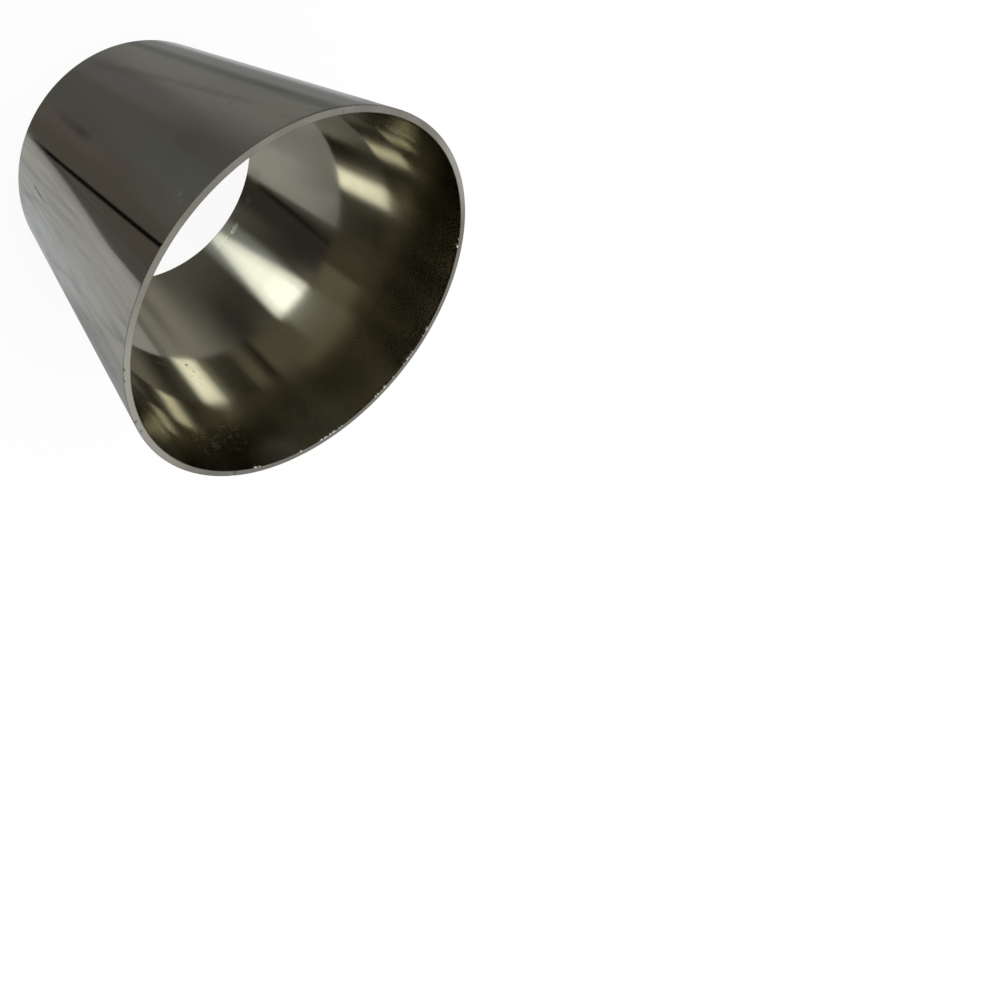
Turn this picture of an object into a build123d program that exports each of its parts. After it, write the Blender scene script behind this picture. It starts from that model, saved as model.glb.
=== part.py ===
from build123d import *
import os
from math import atan2, cos

# Exhaust pipe reducer: one cone of polished stainless tube, cut square at both ends.
# Millimetres, +Z up the axis. The origin is the centre of the narrow end, on which the cone stands.

# Outside diameters of the two ends, each the size of the pipe that is welded to it
wide_od = 76.2
narrow_od = 63.5
length = 70.0

# Thickness square to the cone's surface
wall = 1.2

# Chamfer that breaks the four sharp corners of the cut ends
edge_break = 0.15


def half_section():
    """The wall cut along the axis: a slanted strip of one thickness, level at both ends."""
    half_angle = atan2((wide_od - narrow_od) / 2, length)
    level_wall = wall / cos(half_angle)
    corners = [
        (narrow_od / 2, 0, 0),
        (wide_od / 2, 0, length),
        (wide_od / 2 - level_wall, 0, length),
        (narrow_od / 2 - level_wall, 0, 0),
    ]
    return make_face(Polyline(corners, close=True))


def reducer_cone():
    """The whole part: the half section turned about +Z, with its cut corners broken."""
    cone = revolve(half_section(), Axis.Z)
    rims = cone.edges().group_by(Axis.Z)
    corner = min(edge_break, wall / 3)
    return chamfer(rims[0] + rims[-1], corner)


os.makedirs("parts", exist_ok=True)
export_step(reducer_cone(), "parts/reducer_cone.step")
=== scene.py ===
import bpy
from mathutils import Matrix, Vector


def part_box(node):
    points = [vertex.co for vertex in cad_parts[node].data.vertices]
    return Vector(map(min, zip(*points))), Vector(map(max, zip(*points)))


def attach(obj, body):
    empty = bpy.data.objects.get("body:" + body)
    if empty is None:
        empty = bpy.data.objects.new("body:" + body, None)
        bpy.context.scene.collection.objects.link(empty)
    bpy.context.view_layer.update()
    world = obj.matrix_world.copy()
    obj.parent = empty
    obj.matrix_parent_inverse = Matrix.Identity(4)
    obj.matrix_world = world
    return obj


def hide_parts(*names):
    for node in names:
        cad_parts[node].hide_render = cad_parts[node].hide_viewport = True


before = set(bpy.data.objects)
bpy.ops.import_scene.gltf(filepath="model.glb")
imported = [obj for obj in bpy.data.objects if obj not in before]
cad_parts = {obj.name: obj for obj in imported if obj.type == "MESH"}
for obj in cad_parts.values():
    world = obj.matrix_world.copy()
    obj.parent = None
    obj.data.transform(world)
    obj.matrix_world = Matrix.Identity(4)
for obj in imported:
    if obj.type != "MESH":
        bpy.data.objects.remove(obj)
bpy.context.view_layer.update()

import random
from math import cos, degrees, exp, hypot, pi, radians, sin

import bpy
from mathutils import Quaternion, Vector

# Exhaust pipe reducer: one cone of polished stainless tube, standing on its narrow end.
# Metres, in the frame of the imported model: +Z up the axis, origin at the centre of the narrow end.

mm = 0.001
cone_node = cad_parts["reducer_cone"]
low_corner, high_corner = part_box("reducer_cone")
length = high_corner.z - low_corner.z

# Corner breaks of the cut ends
edge_break = 0.15 * mm
# A faint ring that the forming tool left in the bore, near the narrow end
tool_ring_height = 4.2 * mm
tool_ring_depth = 0.0025 * mm
tool_ring_width = 0.35 * mm

# The camera stands on the -Y side and looks down into the wide mouth
camera_place = Vector((0, -96.04, 144.01)) * mm
camera_target = Vector((4.60, -7.73, 70.0)) * mm
camera_roll = radians(131.43)
camera_lens = 23.724
camera_shift = (0.22, -0.1835)

# One broad soft lamp overhead throws the shadow on the floor
lamp_place = Vector((-350, -250, 1100)) * mm
lamp_across = 800 * mm
lamp_watts = 4.0

# The floor reaches this far each way. It is plain white, but for a small share of real light that keeps
# the shadow: all of that share within the inner radius, none past the outer one.
floor_reach = 6000 * mm
shadow_inner = 150 * mm
shadow_outer = 600 * mm
shadow_share = 0.10

# Tones of the background, of the floor's matt share and of the light on all that is matt
white = (1.0, 1.0, 1.0)
floor_tone = (0.95, 0.95, 0.95)
plain_light = (0.8, 0.8, 0.8)


class Wire:
    """One output of a node. A sum, product or other expression of wires adds Math nodes to their tree."""

    def __init__(self, nodes, socket):
        self.nodes = nodes
        self.socket = socket

    def __add__(self, other):
        return self.nodes.maths("ADD", self, other)

    __radd__ = __add__

    def __sub__(self, other):
        return self.nodes.maths("SUBTRACT", self, other)

    def __rsub__(self, other):
        return self.nodes.maths("SUBTRACT", other, self)

    def __mul__(self, other):
        return self.nodes.maths("MULTIPLY", self, other)

    __rmul__ = __mul__

    def __truediv__(self, other):
        return self.nodes.maths("DIVIDE", self, other)

    def __rtruediv__(self, other):
        return self.nodes.maths("DIVIDE", other, self)

    def __pow__(self, other):
        return self.nodes.maths("POWER", self, other)

    def __rpow__(self, other):
        return self.nodes.maths("POWER", other, self)

    def __neg__(self):
        return self * -1.0

    def __abs__(self):
        return self.nodes.maths("ABSOLUTE", self)


class Nodes:
    """The nodes of one material or of the world."""

    def __init__(self, owner):
        owner.use_nodes = True
        self.tree = owner.node_tree
        self.tree.nodes.clear()

    def add(self, kind, settings=None, inputs=None, output=0):
        """Adds a node: its settings first, then its inputs by identifier. Gives one of its outputs."""
        node = self.tree.nodes.new("ShaderNode" + kind)
        for name, value in (settings or {}).items():
            setattr(node, name, value)
        sockets = {socket.identifier: socket for socket in node.inputs}
        for name, value in (inputs or {}).items():
            if isinstance(value, Wire):
                self.tree.links.new(value.socket, sockets[name])
            else:
                sockets[name].default_value = value
        if not node.outputs:
            return None
        return Wire(self, node.outputs[output])

    def maths(self, operation, first, second=0.0):
        """A Math node. One that works on a single value has no use for the second."""
        inputs = {"Value": first, "Value_001": second}
        return self.add("Math", {"operation": operation}, inputs)

    def at_least(self, value, lowest):
        """The value, or lowest where that is larger."""
        return self.maths("MAXIMUM", value, lowest)

    def mix(self, factor, first, second):
        """Colour between two colours."""
        settings = {"data_type": "RGBA"}
        inputs = {"Factor_Float": factor, "A_Color": colour(first), "B_Color": colour(second)}
        return self.add("Mix", settings, inputs, 2)

    def step(self, value, start, end):
        """0 before start, 1 after end and smooth between them; end may be below start."""
        settings = {"interpolation_type": "SMOOTHSTEP"}
        return self.add("MapRange", settings, {"Value": value, "From Min": start, "From Max": end})

    def band(self, value, start, end, soft):
        """1 between start and end, with an edge that is soft wide. An end that is None has no edge."""
        if start is None:
            return self.step(value, end + soft / 2, end - soft / 2)
        rise = self.step(value, start - soft / 2, start + soft / 2)
        if end is None:
            return rise
        return rise * self.step(value, end + soft / 2, end - soft / 2)

    def split(self, vector):
        """The three parts of a vector."""
        return [self.add("SeparateXYZ", {}, {"Vector": vector}, axis) for axis in "XYZ"]

    def scaled(self, vector, factors):
        """The vector with each of its parts multiplied."""
        inputs = {"Vector": vector, "Vector_001": factors}
        return self.add("VectorMath", {"operation": "MULTIPLY"}, inputs)

    def noise(self, vector, factors, detail=2.0, roughness=0.5):
        """Noise from 0 to 1, with about as many lumps per metre along each axis as its factor."""
        inputs = {
            "Vector": self.scaled(vector, factors),
            "Scale": 1.0,
            "Detail": detail,
            "Roughness": roughness,
        }
        return self.add("TexNoise", {}, inputs)

    def near(self, place, centre, inner, outer):
        """1 within inner of a point, 0 past outer."""
        inputs = {"Vector": place, "Vector_001": centre}
        distance = self.add("VectorMath", {"operation": "DISTANCE"}, inputs, "Value")
        return self.step(distance, outer, inner)


def colour(value):
    """A colour as a socket takes it: a wire as it is, three numbers with their alpha."""
    if isinstance(value, Wire):
        return value
    return (*value, 1.0)


def cut_radii(height):
    """Inner and outer radius of the frame's flat cut face at that height."""
    radii = [hypot(v.co.x, v.co.y) for v in cone_node.data.vertices if abs(v.co.z - height) < 0.001 * mm]
    return min(radii), max(radii)


# Rows of points round each broken corner, and how far past the cut face the outermost one stands
corner_steps = 4
corner_reach = edge_break * cos(pi / 2 / corner_steps)
# Strips across each cut face
face_strips = 6
# The frame's facets fall a hair short of the round cone on some sides, and the whole wall moves in by that
cad_radii = cut_radii(low_corner.z) + cut_radii(high_corner.z)
facet_reach = min(-low_corner.x, -low_corner.y, high_corner.x, high_corner.y)
inset = max(cad_radii) + corner_reach - facet_reach
narrow_in, narrow_out, wide_in, wide_out = (radius - inset for radius in cad_radii)
# Radii of the outer edges before they are broken, and the wall's thickness measured level
narrow_corner = narrow_out + edge_break
wide_corner = wide_out + edge_break
level_wall = wide_corner - (wide_in - edge_break)


def outer_radius(height):
    """Outside radius of the straight cone at a height."""
    return narrow_corner + (wide_corner - narrow_corner) * height / length


def tool_ring(height):
    """Depth of the faint ring, a shallow groove, at a height in the bore."""
    return tool_ring_depth * exp(-((height - tool_ring_height) / tool_ring_width) ** 2)


def wall_heights():
    """Heights of the rings of vertices, bottom up: close together at the cut ends."""
    near_end = [0.15, 0.4, 0.8, 1.5, 3.0]
    heights = [height * mm for height in near_end]
    heights += [length - height for height in heights]
    heights += [length * step / 9 for step in range(1, 9)]
    return sorted(heights)


def bore_heights():
    """Heights of the bore's rings of vertices, bottom up: the wall's, and more across the tool ring."""
    across_ring = [-1.0, -0.7, -0.5, -0.35, -0.22, -0.11, 0.0, 0.11, 0.22, 0.35, 0.5, 0.7, 1.0]
    return sorted(wall_heights() + [tool_ring_height + offset * mm for offset in across_ring])


def corner(centre_radius, centre_height, start):
    """Points of a rounded corner, through a quarter turn from a start angle in degrees."""
    angles = [radians(start + 90 * step / corner_steps) for step in range(1, corner_steps)]
    return [(centre_radius + edge_break * cos(a), centre_height + edge_break * sin(a)) for a in angles]


OUTSIDE, RIM, BORE = range(3)


def half_section():
    """Points of the wall's section, going up the outside, over the wide cut, down the bore and under
    the narrow cut. Each is (radius, height, finish of the strip that starts there)."""
    points = []
    for height in wall_heights():
        points.append((outer_radius(height), height, OUTSIDE))
    points[-1] = (*points[-1][:2], RIM)
    for radius, height in corner(wide_out, length - edge_break, 0):
        points.append((radius, height, RIM))
    for step in range(face_strips + 1):
        points.append((wide_out + (wide_in - wide_out) * step / face_strips, length, RIM))
    for radius, height in corner(wide_in, length - edge_break, 90):
        points.append((radius, height, RIM))
    for height in reversed(bore_heights()):
        points.append((outer_radius(height) - level_wall + tool_ring(height), height, BORE))
    for radius, height in corner(narrow_in, edge_break, 180):
        points.append((radius, height, BORE))
    for step in range(face_strips + 1):
        points.append((narrow_in + (narrow_out - narrow_in) * step / face_strips, 0, RIM))
    for radius, height in corner(narrow_out, edge_break, 270):
        points.append((radius, height, RIM))
    return points


# Marks of the cut on the wide rim, by the angle round from +X in degrees. A nick is a dent in the outer
# edge: (angle, width, depth). Burrs are slivers left along the inner edge, crowded about a few angles:
# (angle, spread in degrees, how many).
rim_nicks = [(-47.8, 0.5 * mm, 0.22 * mm), (-44.6, 0.4 * mm, 0.18 * mm), (19.0, 0.4 * mm, 0.15 * mm)]
burr_clusters = [
    (28.0, 1.0, 6), (46.0, 1.0, 3), (57.0, 2.5, 8), (63.0, 1.5, 4), (82.5, 2.5, 6), (100.0, 2.5, 7),
    (110.0, 2.0, 4), (143.0, 3.0, 3),
]
burr_reach = 0.38 * mm


def turned_apart(first, second):
    """Degrees between two angles, the short way round."""
    return abs((first - second + 180) % 360 - 180)


def nick_depth(angle):
    """How deep the outer edge of the rim is dented at an angle in degrees."""
    depth = 0.0
    for centre, width, deepest in rim_nicks:
        across = radians(turned_apart(angle, centre)) * wide_corner / (width / 2)
        depth = max(depth, deepest * exp(-across * across))
    return depth


def burr_lengths(around):
    """How far the inner edge stands into the bore at each step round: ragged, with a few longer slivers."""
    lengths = [random.uniform(0.0, 0.02 * mm) for step in range(around)]
    for centre, spread, count in burr_clusters:
        for sliver in range(count):
            step = round((centre + random.gauss(0, spread)) / 360 * around) % around
            lengths[step] = random.uniform(0.25, 1.0) * burr_reach
    return lengths


def cone_mesh(around=900):
    """The cone as a lathed mesh, with a sharp edge where a finish ends or a cut face meets its corner.
    Its wide rim keeps the nicks and burrs of the cut."""
    section = half_section()
    count = len(section)
    burrs = burr_lengths(around)
    vertices = []
    for turn in range(around):
        angle = 2 * pi * turn / around
        nick = nick_depth(degrees(angle))
        for radius, height, finish in section:
            # a nick bites into the outer edge alone, and a burr hangs from the inner edge alone
            if height > length - 2 * edge_break:
                outward = (radius - wide_in) / (wide_out - wide_in)
                radius -= nick * max(0.0, min(1.0, outward)) ** 4
                radius -= burrs[turn] * max(0.0, 1.0 - max(0.0, outward) * 6)
            vertices.append((radius * cos(angle), radius * sin(angle), height))
    faces = []
    finishes = []
    for turn in range(around):
        here = turn * count
        there = (turn + 1) % around * count
        for row in range(count):
            after = (row + 1) % count
            faces.append((here + row, there + row, there + after, here + after))
            finishes.append(section[row][2])
    mesh = bpy.data.meshes.new("reducer_cone_wall")
    mesh.from_pydata(vertices, [], faces)
    mesh.polygons.foreach_set("material_index", finishes)
    mesh.shade_smooth()
    sharp_rows = set(sharp_corners(section))
    sharp = []
    for edge in mesh.edges:
        first, second = (index % count for index in edge.vertices)
        sharp.append(first == second and first in sharp_rows)
    attribute = mesh.attributes.new("sharp_edge", "BOOLEAN", "EDGE")
    attribute.data.foreach_set("value", sharp)
    mesh.validate()
    return mesh


def sharp_corners(section):
    """Rows of the section where the line turns by more than 10 degrees."""
    count = len(section)
    for row in range(count):
        before = Vector(section[row][:2]) - Vector(section[row - 1][:2])
        after = Vector(section[(row + 1) % count][:2]) - Vector(section[row][:2])
        if before.angle(after) > radians(10):
            yield row


def finish_named(name):
    material = bpy.data.materials.new(name)
    return material, Nodes(material)


def surface(nodes, inputs):
    """Ends a material with its one shader. Numbers that don't change over the surface are set on it."""
    shader = nodes.add("BsdfPrincipled", {}, inputs)
    nodes.add("OutputMaterial", {}, {"Surface": shader})


def on_wall(angle, height, inside=False):
    """A place on the outer or inner wall, by its angle round from +X in degrees and its height."""
    radius = outer_radius(height) - (level_wall if inside else 0.0)
    return Vector((radius * cos(radians(angle)), radius * sin(radians(angle)), height))


def on_rim(angle, radius):
    """A place on the wide cut face, by its angle round from +X in degrees and its radius."""
    return Vector((radius * cos(radians(angle)), radius * sin(radians(angle)), length))


# A degree round the wall is about so many millimetres, at its middle radius
mm_per_degree = radians((narrow_corner + wide_corner) / 2 / mm)


def scratch(nodes, round_wall, up_wall, start, end, half_width):
    """1 along a straight scratch between two places on the wall, 0 past twice its half width.
    round_wall and up_wall are the place on the wall laid flat, in millimetres. start and end are an angle
    in degrees and a height in millimetres each."""
    run_round = (end[0] - start[0]) * mm_per_degree
    run_up = end[1] - start[1]
    from_start = round_wall - start[0] * mm_per_degree
    above_start = up_wall - start[1]
    share = (from_start * run_round + above_start * run_up) / (run_round ** 2 + run_up ** 2)
    share = nodes.add("Clamp", {}, {"Value": share})
    off_round = from_start - share * run_round
    off_up = above_start - share * run_up
    distance = (off_round * off_round + off_up * off_up) ** 0.5
    return nodes.step(distance, half_width * 2.0, 0.0)


def smear(nodes, round_wall, up_wall, middle, half_round, half_up):
    """1 in the middle of a soft smear, an oval on the wall laid flat, 0 past its edge. middle is an angle
    in degrees and a height in millimetres, and the two half widths are in millimetres."""
    off_round = (round_wall - middle[0] * mm_per_degree) / half_round
    off_up = (up_wall - middle[1]) / half_up
    distance = (off_round * off_round + off_up * off_up) ** 0.5
    return nodes.step(distance, 1.0, 0.0)


# Tone of a scratch, a smear or the dark band under the rim at its darkest
mark_tone = (0.14, 0.13, 0.115)


def polished_steel(name, tone, dull_tone, roughness, aspect, wear, inside=False):
    """Bright polished stainless, with the fine lines that the polishing wheel leaves round the cone.
    aspect is how much those lines draw the gloss out along the cone. wear holds its dark scratches and
    smears, its dull and its scuffed spots and its patches of fine pitting. inside is for the bore."""
    material, nodes = finish_named(name)
    place = nodes.add("TexCoord", output="Object")

    def within(spot, inner, outer):
        """1 within inner millimetres of a place on this side of the wall, 0 past outer."""
        angle, height = spot
        return nodes.near(place, on_wall(angle, height * mm, inside), inner * mm, outer * mm)

    x, y, z = nodes.split(place)
    round_wall = nodes.maths("ARCTAN2", y, x) * (degrees(1) * mm_per_degree)
    up_wall = z / mm
    lines = nodes.noise(place, (60, 60, 2400), detail=3.0, roughness=0.6)
    broad_lines = nodes.noise(place, (25, 25, 500))
    ripple = nodes.noise(place, (260, 260, 160))
    cloud = nodes.noise(place, (70, 70, 70), detail=4.0)
    grain = nodes.noise(place, (1500, 1500, 1500), detail=2.0, roughness=0.7)
    dull = nodes.step(cloud, 0.55, 0.75) * 0.35 + broad_lines * 0.4
    for spot, inner, outer, strength in wear["dull spots"]:
        dull = dull + within(spot, inner, outer) * strength
    scratched = nodes.step(grain, 0.64, 0.80) * 0.06
    for begin, end, half_width, strength in wear["scratches"]:
        scratched = scratched + scratch(nodes, round_wall, up_wall, begin, end, half_width) * strength
    for middle, half_round, half_up, strength in wear["smears"]:
        scratched = scratched + smear(nodes, round_wall, up_wall, middle, half_round, half_up) * strength
    tint = nodes.mix(dull, tone, dull_tone)
    tint = nodes.mix(scratched, tint, mark_tone)
    rough = roughness + (lines - 0.5) * 0.04 + dull * 0.05 + scratched * 0.10
    for spot, inner, outer, gain in wear["scuffed"]:
        rough = rough + within(spot, inner, outer) * gain
    if wear["pitting"]:
        worms = nodes.band(nodes.noise(place, (1300, 1300, 1000)), 0.485, 0.515, 0.04)
        worms = worms * nodes.step(nodes.noise(place, (800, 800, 800)), 0.46, 0.54)
        pitting = 0.0
        for spot, inner, outer in wear["pitting"]:
            pitting = within(spot, inner, outer) + pitting
        rough = rough + worms * pitting * 0.22
    relief = lines * 0.35 + ripple
    bump = nodes.add("Bump", {}, {"Strength": 1.0, "Distance": 0.004 * mm, "Height": relief})
    surface(nodes, {
        "Base Color": tint,
        "Roughness": rough,
        "Normal": bump,
        "Metallic": 1.0,
        "Anisotropic": aspect,
        "Anisotropic Rotation": 0.25,
    })
    return material


# Stretches of the wide rim painted paler, a painted sheen, by their angle and their inner and outer reach
painted_sheen_stretches = [(-32.0, 10 * mm, 26 * mm), (172.0, 4 * mm, 15 * mm)]
# Dark specks on the wide rim, by their angle, radius and reach. The two at the nicks in the outer edge are
# painted shade in those dents.
rim_specks_and_nick_shade = [
    (-30.2, wide_out - 0.2 * mm, 0.45 * mm), (-26.1, wide_out - 0.3 * mm, 0.35 * mm),
    # painted shade in the two nicks of the outer edge
    (-47.8, wide_corner, 0.50 * mm), (-44.6, wide_corner, 0.42 * mm),
    (19.4, wide_in + 0.1 * mm, 0.50 * mm), (19.1, wide_in + 0.5 * mm, 0.35 * mm),
    (-134.0, wide_in + 0.3 * mm, 0.30 * mm),
]
# Tones of the cut ends
ground_tones = ((0.265, 0.257, 0.220), (0.23, 0.220, 0.183))
painted_sheen_tone = (0.41, 0.40, 0.35)
speck_and_shade_tone = (0.10, 0.09, 0.08)
burr_tone = (0.88, 0.87, 0.83)


def cut_face(name):
    """The cut ends: ground square, so matt, mottled and a little gritty. Burrs stand bright and bare
    inside the mouth's edge. Stretches of the wide rim carry a painted sheen, and its two nicks painted
    shade."""
    material, nodes = finish_named(name)
    place = nodes.add("TexCoord", output="Object")
    x, y, z = nodes.split(place)
    grit = nodes.noise(place, (2500, 2500, 2500), detail=3.0, roughness=0.7)
    patches = nodes.noise(place, (220, 220, 220), detail=3.0)
    tint = nodes.mix(nodes.step(patches, 0.35, 0.65), *ground_tones)
    # painted sheen: stretches of the rim painted paler than the ground tones
    for angle, inner, outer in painted_sheen_stretches:
        painted_sheen = nodes.near(place, on_rim(angle, wide_corner), inner, outer)
        tint = nodes.mix(painted_sheen * (0.75 + patches * 0.3), tint, painted_sheen_tone)
    # dark specks, and painted shade in the two nicks
    for angle, radius, across in rim_specks_and_nick_shade:
        speck_and_shade = nodes.near(place, on_rim(angle, radius), across * 0.2, across)
        tint = nodes.mix(speck_and_shade * 0.8, tint, speck_and_shade_tone)
    radius = (x * x + y * y) ** 0.5
    bare_corner = wide_in - edge_break
    burr = nodes.step(radius, bare_corner - 0.03 * mm, bare_corner - 0.08 * mm)
    burr = burr * nodes.step(z, length - 2 * edge_break, length - edge_break)
    tint = nodes.mix(burr, tint, burr_tone)
    bump = nodes.add("Bump", {}, {"Strength": 1.0, "Distance": 0.01 * mm, "Height": grit})
    surface(nodes, {
        "Base Color": tint,
        "Roughness": 0.42 + (grit - 0.5) * 0.2,
        "Normal": bump,
        "Metallic": 1.0,
    })
    return material


# Wear on the outside. A place is an angle round from +X in degrees and a height in millimetres, and all
# other lengths are in millimetres too. A scratch has the places of its ends, its half width and how dark
# it is. A smear has the place of its middle, its half widths round and up the wall and how dark it is. A
# dull spot has its place, its inner and outer radius and how dull it is. A scuffed spot has the same, but
# with how much rougher it is.
outside_wear = {
    "scratches": [
        ((-59.4, 13.9), (-59.1, 19.0), 0.20, 0.9),
        ((-59.1, 17.0), (-58.8, 22.4), 0.14, 0.7),
        ((-116.7, 39.5), (-118.4, 47.0), 0.14, 0.22),
        ((-118.4, 47.0), (-119.1, 52.4), 0.18, 0.16),
        ((-116.9, 55.0), (-118.5, 53.9), 0.25, 0.16),
        ((-118.5, 53.9), (-120.4, 53.8), 0.20, 0.18),
    ],
    "smears": [
        ((-86.4, 19.0), 1.6, 14.0, 0.35),
        ((-86.8, 26.5), 1.5, 6.5, 0.38),
        ((-131.6, 54.0), 1.3, 9.0, 0.36),
        ((-49.5, 44.5), 2.6, 7.0, 0.30),
        ((-39.5, 57.0), 2.8, 8.0, 0.28),
        ((-56.0, 33.0), 1.6, 9.0, 0.22),
        # not a smear: a dark band along the top of the outside wall, just under the rim's outer edge
        ((-134.0, 69.8), 18.0, 0.8, 0.90),
    ],
    "dull spots": [
        ((-87.2, 29.7), 0.5, 3.0, 0.5),
    ],
    "scuffed": [
        ((-91.1, 66.1), 0.2, 1.2, 0.16),
        ((-89.8, 67.4), 0.2, 1.1, 0.16),
    ],
    "pitting": [],
}
# Wear in the bore, in the same terms. A patch of pitting has its place and its inner and outer radius.
bore_wear = {
    "scratches": [
        ((34.4, 55.6), (31.0, 59.2), 0.14, 0.6),
        ((27.7, 55.6), (24.5, 59.0), 0.12, 0.6),
        ((24.5, 59.0), (24.4, 60.9), 0.12, 0.6),
        ((24.4, 60.9), (26.7, 59.9), 0.12, 0.6),
        ((117.1, 61.3), (114.5, 61.8), 0.20, 0.6),
        ((107.9, 61.4), (106.5, 62.0), 0.20, 0.6),
    ],
    "smears": [],
    "dull spots": [
        ((73.5, 40.8), 0.15, 0.45, 3.0),
        ((78.8, 46.7), 0.15, 0.40, 3.0),
        ((30.1, 36.5), 0.20, 0.50, 4.0),
        ((31.1, 39.0), 0.10, 0.35, 3.5),
        ((29.0, 40.5), 0.10, 0.30, 3.0),
        ((31.8, 41.5), 0.10, 0.30, 3.0),
        ((30.3, 43.5), 0.10, 0.25, 2.5),
    ],
    "scuffed": [
        ((-10.0, 69.5), 2.0, 9.0, 0.12),
        ((14.0, 69.5), 2.0, 8.0, 0.06),
        ((38.0, 69.5), 3.0, 9.0, 0.10),
        ((56.0, 67.0), 3.0, 16.0, 0.09),
        ((94.9, 4.2), 0.3, 1.1, 0.22),
        ((97.0, 4.1), 0.3, 1.2, 0.26),
        ((99.0, 4.0), 0.2, 0.9, 0.16),
        ((113.0, 3.9), 0.3, 1.6, 0.12),
        ((127.0, 3.5), 1.0, 4.0, 0.08),
    ],
    "pitting": [
        ((26.0, 60.5), 3.0, 8.0),
        ((14.0, 62.5), 1.5, 5.5),
    ],
}


def build_cone():
    """The one piece. It stands for the frame's coarser cone, at the same place and size."""
    cone = bpy.data.objects.new("reducer_cone_polished", cone_mesh())
    bpy.context.scene.collection.objects.link(cone)
    outside = polished_steel(
        "outside_polish",
        tone=(0.62, 0.605, 0.57),
        dull_tone=(0.55, 0.53, 0.49),
        roughness=0.05,
        aspect=0.5,
        wear=outside_wear,
    )
    bore = polished_steel(
        "bore_polish",
        tone=(0.585, 0.568, 0.490),
        dull_tone=(0.51, 0.49, 0.415),
        roughness=0.082,
        aspect=0.62,
        wear=bore_wear,
        inside=True,
    )
    for finish in (outside, cut_face("ground_cut"), bore):
        cone.data.materials.append(finish)
    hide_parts("reducer_cone")
    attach(cone, "root")


def background_seen(nodes):
    """1 for the rays that show the plain white background."""
    kinds = ("Is Camera Ray", "Is Glossy Ray", "Is Transmission Ray")
    camera, glossy, transmission = (nodes.add("LightPath", output=kind) for kind in kinds)
    return camera + glossy + transmission


def floor_finish():
    """White floor that keeps the cone's soft shadow: mostly plain white, partly lit near the cone."""
    material, nodes = finish_named("white_floor")
    place = nodes.add("TexCoord", output="Object")
    near_cone = nodes.near(place, (0, 0, 0), shadow_inner, shadow_outer)
    matt = nodes.add("BsdfDiffuse", {}, {"Color": colour(floor_tone)})
    glow = nodes.add("Emission", {}, {"Color": colour(white), "Strength": 1.0})
    share = background_seen(nodes) * (1.0 - near_cone * shadow_share)
    shader = nodes.add("MixShader", {}, {"Fac": share, "Shader": matt, "Shader_001": glow})
    nodes.add("OutputMaterial", {}, {"Surface": shader})
    return material


def build_floor():
    """White floor under the cone. The polish doesn't show it, but the cards in its place."""
    mesh = bpy.data.meshes.new("floor")
    quarters = [(-1, -1), (1, -1), (1, 1), (-1, 1)]
    corners = [(across * floor_reach, along * floor_reach, 0) for across, along in quarters]
    mesh.from_pydata(corners, [], [(0, 1, 2, 3)])
    floor = bpy.data.objects.new("floor", mesh)
    bpy.context.scene.collection.objects.link(floor)
    mesh.materials.append(floor_finish())
    floor.visible_glossy = False


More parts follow.
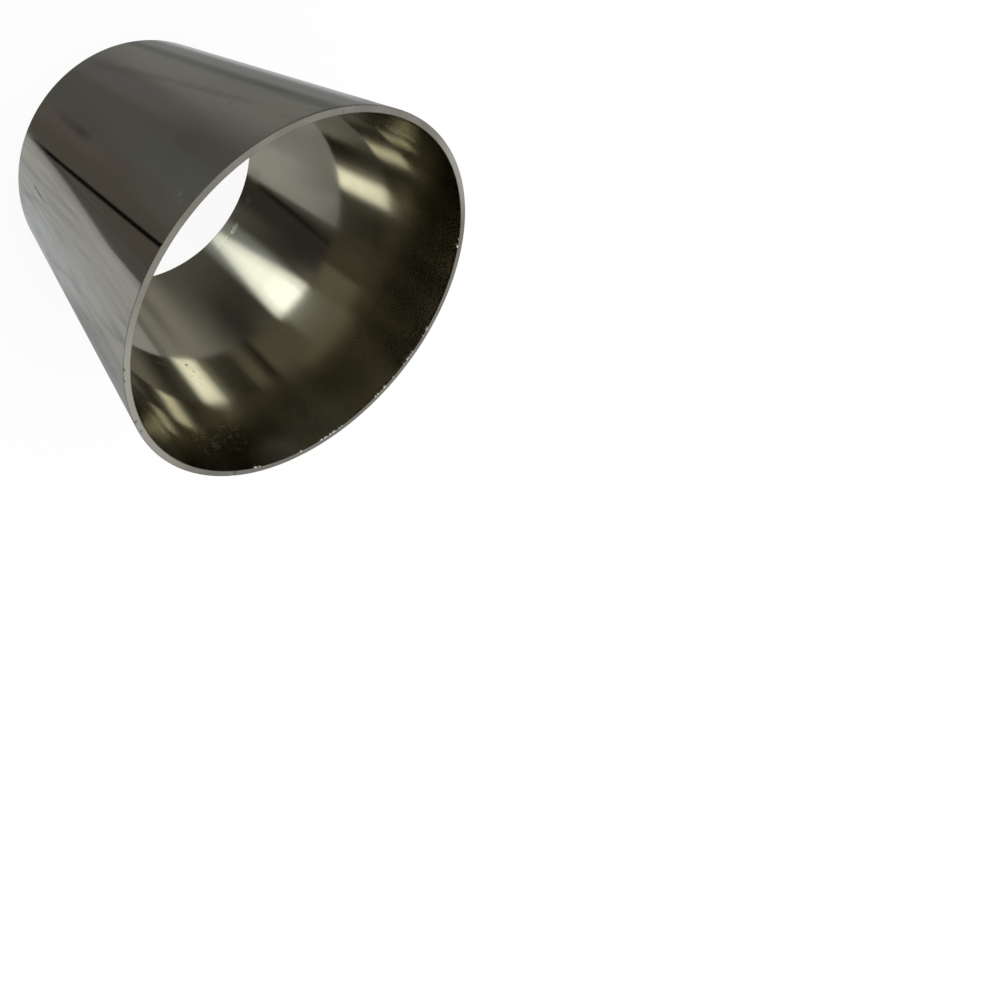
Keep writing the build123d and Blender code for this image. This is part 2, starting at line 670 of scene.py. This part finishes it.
# Cards that stand and hang round the cone in the studio, out of the picture. The polished steel shows
# them, and the white background beyond them. Each has its azimuths and its heights in degrees, how soft
# its upright and its level edges are, and its tone. Azimuth runs from the camera's side towards +X, and
# a height is below the horizon where it is negative. None is no edge: the card goes on out of sight. A
# later card stands in front of the ones before it.
all_round = (None, None)
cards = [
    # high up: a pale grey card all round, a dark one on the right and a paler one on the left
    (all_round, (None, 33), (1, 5), (0.57, 0.58, 0.66)),
    ((8, 160), (None, 29), (30, 4), (0.06, 0.05, 0.035)),
    ((-130, 60), (26.5, 37), (30, 4), (0.14, 0.145, 0.16)),
    ((-175, -95), (23, 26.5), (20, 2), (1.1, 1.1, 1.2)),
    ((-100, -20), (23, 26.5), (20, 2), (0.68, 0.70, 0.78)),
    ((-74, -26), (30, 33), (16, 2), (1.2, 1.2, 1.4)),
    # dark all round at the horizon, paler at both sides and in front
    (all_round, (None, 14), (1, 10), (0.16, 0.15, 0.12)),
    ((50, 132), (-16, -3), (40, 4), (0.21, 0.20, 0.175)),
    ((-132, -50), (-16, -3), (40, 4), (0.23, 0.235, 0.22)),
    ((-84, 40), (-8, 12), (24, 4), (0.62, 0.59, 0.46)),
    # brown below, with darker stretches and a pale upper edge
    (all_round, (None, -14), (1, 2), (0.074, 0.065, 0.047)),
    ((-70, -26), (-22, -17), (10, 2), (0.04, 0.035, 0.025)),
    ((26, 58), (-23, -17), (10, 2), (0.045, 0.04, 0.03)),
    ((-78, -34), (-17, -13.5), (12, 1.5), (0.27, 0.265, 0.21)),
    ((30, 74), (-17.5, -13.5), (12, 1.5), (0.34, 0.33, 0.27)),
    ((-108, -80), (-15.5, -12.5), (14, 1.5), (0.50, 0.49, 0.40)),
    ((80, 110), (-16, -12.5), (14, 1.5), (0.55, 0.53, 0.42)),
    # warm cards in front of those, pale at the back
    ((None, -92), (None, -15), (50, 2), (0.12, 0.105, 0.075)),
    ((None, -122), (None, -14), (7, 2), (0.28, 0.26, 0.20)),
    ((None, -158), (None, -18), (12, 1.5), (0.46, 0.49, 0.45)),
    ((59.5, 76.5), (None, -12), (3, 2), (0.22, 0.205, 0.155)),
    ((92.5, None), (None, -13), (3, 2), (0.205, 0.195, 0.15)),
    ((148, None), (None, -18), (10, 1.5), (0.58, 0.60, 0.59)),
    # a lower card all round, darker on the right
    (all_round, (None, -22), (1, 2), (0.12, 0.112, 0.092)),
    ((36, 58), (None, -22), (14, 2), (0.082, 0.082, 0.068)),
    # lower still: near black in front, pale sheets at the left side with two darker stretches
    (all_round, (None, -30.5), (1, 1), (0.046, 0.040, 0.032)),
    ((-85, -38), (-30.5, -26), (14, 3), (0.075, 0.069, 0.056)),
    ((-85, -38), (-35, -30.5), (14, 2), (0.033, 0.030, 0.025)),
    ((None, -67), (None, -29), (46, 3), (0.28, 0.272, 0.237)),
    ((-116, -108), (None, -29), (5, 3), (0.20, 0.20, 0.175)),
    ((-99, -91), (None, -38), (6, 3), (0.19, 0.186, 0.158)),
    ((None, -115), (None, -29), (3, 3), (0.38, 0.385, 0.36)),
    ((-70, 36), (None, -37), (24, 8), (0.12, 0.116, 0.10)),
    ((32, 56), (None, -30), (14, 2), (0.038, 0.036, 0.03)),
    ((19, 42), (-34, -28.5), (8, 2), (0.030, 0.028, 0.024)),
    # pale sheets at the right side, dimmer at the top and at the back
    ((53, None), (None, -29.5), (6, 2), (0.10, 0.09, 0.072)),
    ((57.5, None), (None, -32), (3.5, 4), (0.34, 0.34, 0.315)),
    ((62, 92), (None, -37), (10, 3), (0.42, 0.42, 0.395)),
    ((77, None), (-37, -24), (24, 6), (0.21, 0.215, 0.195)),
    ((108, None), (-46, -24), (50, 6), (0.205, 0.21, 0.20)),
    # the lowest: grey, paler in front
    (all_round, (None, -45), (1, 3), (0.102, 0.100, 0.090)),
    ((-28, 12), (-68, -45), (16, 8), (0.115, 0.117, 0.106)),
    # grey sheets low down on the left, with a darker stretch, paler behind it
    ((None, -64), (None, -45), (44, 3), (0.203, 0.205, 0.18)),
    ((None, -62), (None, -70), (30, 10), (0.14, 0.138, 0.133)),
    ((-74, -46), (-76, -66), (14, 5), (0.128, 0.126, 0.118)),
    ((-119, -109), (None, -45), (8, 3), (0.145, 0.149, 0.14)),
    ((None, -121), (None, -45), (6, 3), (0.222, 0.231, 0.226)),
    ((None, -140), (None, -45), (16, 3), (0.50, 0.51, 0.51)),
    # the right sheet with its grey edge
    ((59, None), (None, -45), (1.6, 3), (0.28, 0.28, 0.255)),
    ((63, None), (None, -45), (7, 3), (0.45, 0.455, 0.425)),
    ((100, None), (None, -55), (40, 6), (0.49, 0.51, 0.52)),
    ((116, None), (-55, -40), (36, 6), (0.32, 0.33, 0.325)),
]
# Straight behind the cone, the right and the left cards run into one another in these tones
for level, tone in [
    ((-18, -13), (0.24, 0.225, 0.175)),
    ((-22, -18), (0.52, 0.54, 0.52)),
    ((-45, -30), (0.29, 0.295, 0.28)),
    ((None, -45), (0.42, 0.43, 0.43)),
]:
    cards.append(((168, None), level, (16, 2), tone))
    cards.append(((None, -168), level, (16, 2), tone))


# Heights between which the low cards fade in, on the way down
low_fade = (-50.0, -54.0)


def brown_card(nodes, shown, azimuth, height, across, towards):
    """The brown card low down between the grey one in front and the right sheet: warmer along its left
    edge, paler in front, and creased twice beside the sheet."""
    left_tone = (0.112, 0.099, 0.084)
    middle_tone = (0.092, 0.084, 0.067)
    right_tone = (0.100, 0.093, 0.082)
    front_tone = (0.118, 0.119, 0.103)
    crease_tone = (0.05, 0.045, 0.04)
    low = nodes.step(height, *low_fade)
    from_edge = across + nodes.at_least(towards, 0.325) * 0.64 - 0.273
    near_line = across * 0.297 + 0.101
    from_sheet = towards - nodes.at_least(near_line, across * 0.95 - 0.199)
    card = nodes.step(from_edge, -0.006, 0.008) * nodes.step(from_sheet, -0.004, 0.006) * low
    tone = nodes.mix(nodes.step(from_edge, 0.02, 0.13), left_tone, middle_tone)
    tone = nodes.mix(nodes.step(azimuth, 48.0, 50.0), tone, right_tone)
    front = nodes.step(azimuth, 28.0, 10.0) * nodes.step(height, -70.0, -63.0)
    tone = nodes.mix(front, tone, front_tone)
    shown = nodes.mix(card, shown, tone)
    from_crease = towards - across * 1.375
    crease = nodes.band(from_crease, -0.222, -0.208, 0.010) + nodes.band(from_sheet, 0.010, 0.020, 0.008)
    crease = crease * nodes.step(azimuth, 44.0, 47.0)
    return nodes.mix(crease * low * 0.5, shown, crease_tone)


def sheet_streaks(nodes, shown, azimuth, height, across, towards):
    """Streaks on the pale sheets. On the right they run along the edge beside it and slant further off,
    and on the left they cross the sheet."""
    fine_tone = (0.20, 0.20, 0.185)
    broad_tone = (0.18, 0.185, 0.18)
    left_tone = (0.12, 0.118, 0.10)
    sheet = nodes.step(azimuth, 58.5, 59.5) * nodes.step(height, -42.0, -48.0)
    plan = nodes.add("CombineXYZ", {}, {"X": across, "Y": towards})
    wave = nodes.noise(plan, (3.0, 3.0, 1.0)) - 0.5
    beside_edge = nodes.add("CombineXYZ", {}, {"X": azimuth + wave * 4.0, "Y": across})
    fine = nodes.noise(beside_edge, (0.55, 1.8, 1.0), detail=4.0, roughness=0.65)
    shown = nodes.mix(nodes.step(fine, 0.44, 0.64) * sheet * 0.42, shown, fine_tone)
    # the plane turned by about 32 degrees
    slanted = nodes.add("CombineXYZ", {}, {
        "X": across * 0.85 - towards * 0.53 + wave * 0.25,
        "Y": across * 0.53 + towards * 0.85,
    })
    broad = nodes.noise(slanted, (18.0, 2.6, 1.0), detail=4.0, roughness=0.65)
    shown = nodes.mix(nodes.step(broad, 0.48, 0.68) * sheet * 0.42, shown, broad_tone)
    patches = nodes.noise(slanted, (5.0, 1.4, 1.0), detail=3.0)
    uneven = nodes.step(patches, 0.45, 0.70) * nodes.step(height, -46.0, -50.0)
    shown = nodes.mix(uneven * 0.08, shown, (0.0, 0.0, 0.0))
    left_sheet = nodes.step(azimuth, -84.0, -90.0) * nodes.band(height, -60.0, -33.0, 3.0)
    # the plane turned by about 45 degrees
    crossing = nodes.add("CombineXYZ", {}, {
        "X": towards * 0.70 - across * 0.71,
        "Y": towards * 0.71 + across * 0.70,
    })
    lines = nodes.noise(crossing, (26.0, 1.2, 1.0), detail=3.0, roughness=0.6)
    return nodes.mix(nodes.step(lines, 0.50, 0.66) * left_sheet * 0.30, shown, left_tone)


def dark_gaps(nodes, shown, azimuth, height, across, towards):
    """Two dark gaps between the cards, the low one wider further off, and a few dark lines."""
    low_gap_tone = (0.002, 0.002, 0.002)
    upper_gap_tone = (0.008, 0.006, 0.004)
    upright_line_tone = (0.02, 0.015, 0.010)
    slanting_line_tone = (0.08, 0.075, 0.06)
    low_line_tone = (0.04, 0.04, 0.035)
    low = nodes.step(height, *low_fade)
    half_width = towards * 0.0155 + 0.0075
    from_middle = abs(across - towards * 0.088 - 0.25)
    gap = nodes.step(from_middle - half_width, 0.005, -0.005) * nodes.band(azimuth, 24.0, 58.0, 4.0)
    shown = nodes.mix(gap * low, shown, low_gap_tone)
    upper = nodes.band(height, -44.0, -29.5, 1.5) * nodes.band(azimuth, 38.0, 56.0, 6.0)
    gap = nodes.band(across - towards * 0.347, 0.720, 0.800, 0.05)
    shown = nodes.mix(gap * upper, shown, upper_gap_tone)
    line = nodes.band(azimuth, 83.5, 89.5, 2.0) * nodes.band(height, -25.0, -12.0, 2.0)
    shown = nodes.mix(line, shown, upright_line_tone)
    slant = towards - across * 0.98
    line = nodes.band(slant, 1.14, 1.16, 0.02) + nodes.band(slant, 1.215, 1.23, 0.02) * 0.6
    shown = nodes.mix(line * nodes.band(height, -46.0, -35.0, 4.0) * 0.5, shown, slanting_line_tone)
    line = nodes.band(towards - across * 0.46, 0.258, 0.282, 0.03) * nodes.band(across, -0.62, -0.27, 0.1)
    return nodes.mix(line * low * 0.35, shown, low_line_tone)


def bright_panel(nodes, shown, azimuth, height):
    """The bright panel on the camera's side: leaning, narrower towards its foot, brightest in the middle
    and with a soft glow round it."""
    wide_glow = (0.12, 0.12, 0.10)
    close_glow = (0.32, 0.32, 0.27)
    low_glow = (0.23, 0.25, 0.24)
    foot_tone = (1.0, 1.04, 0.98)
    panel_tone = (1.35, 1.38, 1.28)
    low_middle = (1.65, 1.70, 1.58)
    bright_middle = (2.6, 2.62, 2.4)
    high_middle = (1.95, 1.95, 1.75)
    level = nodes.band(height, -29.0, -15.5, 3.0)
    shown = nodes.mix(nodes.band(azimuth, -34.0, 32.0, 24.0) * level, shown, wide_glow)
    shown = nodes.mix(nodes.band(azimuth, -22.0, 23.0, 10.0) * level, shown, close_glow)
    below = nodes.band(azimuth, -19.0, 13.5, 8.0) * nodes.band(height, -44.0, -32.5, 2.0)
    shown = nodes.mix(below, shown, low_glow)
    upright = azimuth - nodes.at_least(height + 31.0, 0.0) * 0.32
    outline = abs(upright + 5.2) + nodes.at_least(-height - 30.5, 0.0) * 1.4
    panel = nodes.step(outline, 18.5, 13.5) * nodes.band(height, -41.0, -17.5, 3.0)
    tone = nodes.mix(nodes.step(height, -39.5, -33.0), foot_tone, panel_tone)
    shown = nodes.mix(panel, shown, tone)
    middle = nodes.step(outline, 14.0, 7.0) * nodes.step(upright, 9.0, 1.0)
    middle = middle * nodes.band(height, -37.0, -19.0, 3.0)
    tone = nodes.mix(nodes.step(height, -33.0, -27.0), low_middle, bright_middle)
    tone = nodes.mix(nodes.step(height, -26.0, -22.5), tone, high_middle)
    return nodes.mix(middle * 0.95, shown, tone)


def studio():
    """The studio's light: a white background, a plain level on what is matt, and cards for the polish."""
    world = bpy.data.worlds.new("studio")
    bpy.context.scene.world = world
    nodes = Nodes(world)
    world.cycles.sampling_method = "NONE"
    direction = nodes.add("TexCoord", output="Generated")
    x, y, z = nodes.split(direction)
    azimuth = nodes.maths("ARCTAN2", x, -y) * degrees(1)
    height = nodes.maths("ARCSINE", z) * degrees(1)

    shown = white
    for azimuths, (bottom, top), (soft_upright, soft_level), tone in cards:
        shape = nodes.band(height, bottom, top, soft_level)
        if azimuths != all_round:
            shape = shape * nodes.band(azimuth, *azimuths, soft_upright)
        shown = nodes.mix(shape, shown, tone)
    # where a downward ray meets a level plane 1 below the steel: how far to +X and to the camera's side
    across = -(x / z)
    towards = y / z
    shown = brown_card(nodes, shown, azimuth, height, across, towards)
    shown = sheet_streaks(nodes, shown, azimuth, height, across, towards)
    shown = dark_gaps(nodes, shown, azimuth, height, across, towards)
    shown = bright_panel(nodes, shown, azimuth, height)

    polish = nodes.add("LightPath", output="Is Glossy Ray")
    light = nodes.mix(background_seen(nodes), plain_light, white)
    light = nodes.mix(polish, light, shown)
    background = nodes.add("Background", {}, {"Color": light, "Strength": 1.0})
    nodes.add("OutputWorld", {}, {"Surface": background})


def build_lamp():
    """The one lamp. Like the floor, it isn't shown by the polish."""
    light = bpy.data.lights.new("soft_lamp", "AREA")
    light.shape = "DISK"
    light.size = lamp_across
    light.energy = lamp_watts
    lamp = bpy.data.objects.new("soft_lamp", light)
    lamp.location = lamp_place
    lamp.rotation_mode = "QUATERNION"
    lamp.rotation_quaternion = (-lamp_place).to_track_quat("-Z", "Y")
    lamp.visible_glossy = False
    bpy.context.scene.collection.objects.link(lamp)


def build_camera():
    data = bpy.data.cameras.new("camera")
    data.lens = camera_lens
    data.shift_x, data.shift_y = camera_shift
    data.clip_start = 5 * mm
    camera = bpy.data.objects.new("camera", data)
    camera.location = camera_place
    camera.rotation_mode = "QUATERNION"
    upright = (camera_target - camera_place).to_track_quat("-Z", "Y")
    camera.rotation_quaternion = upright @ Quaternion((0, 0, 1), camera_roll)
    bpy.context.scene.collection.objects.link(camera)
    bpy.context.scene.camera = camera


def light_paths():
    """A polished bore mirrors itself many times over, so a path may go on for longer."""
    cycles = bpy.context.scene.cycles
    cycles.max_bounces = 16
    cycles.glossy_bounces = 14


random.seed(5)
build_cone()
build_floor()
studio()
build_lamp()
build_camera()
light_paths()
bpy.context.scene.view_settings.view_transform = "Standard"
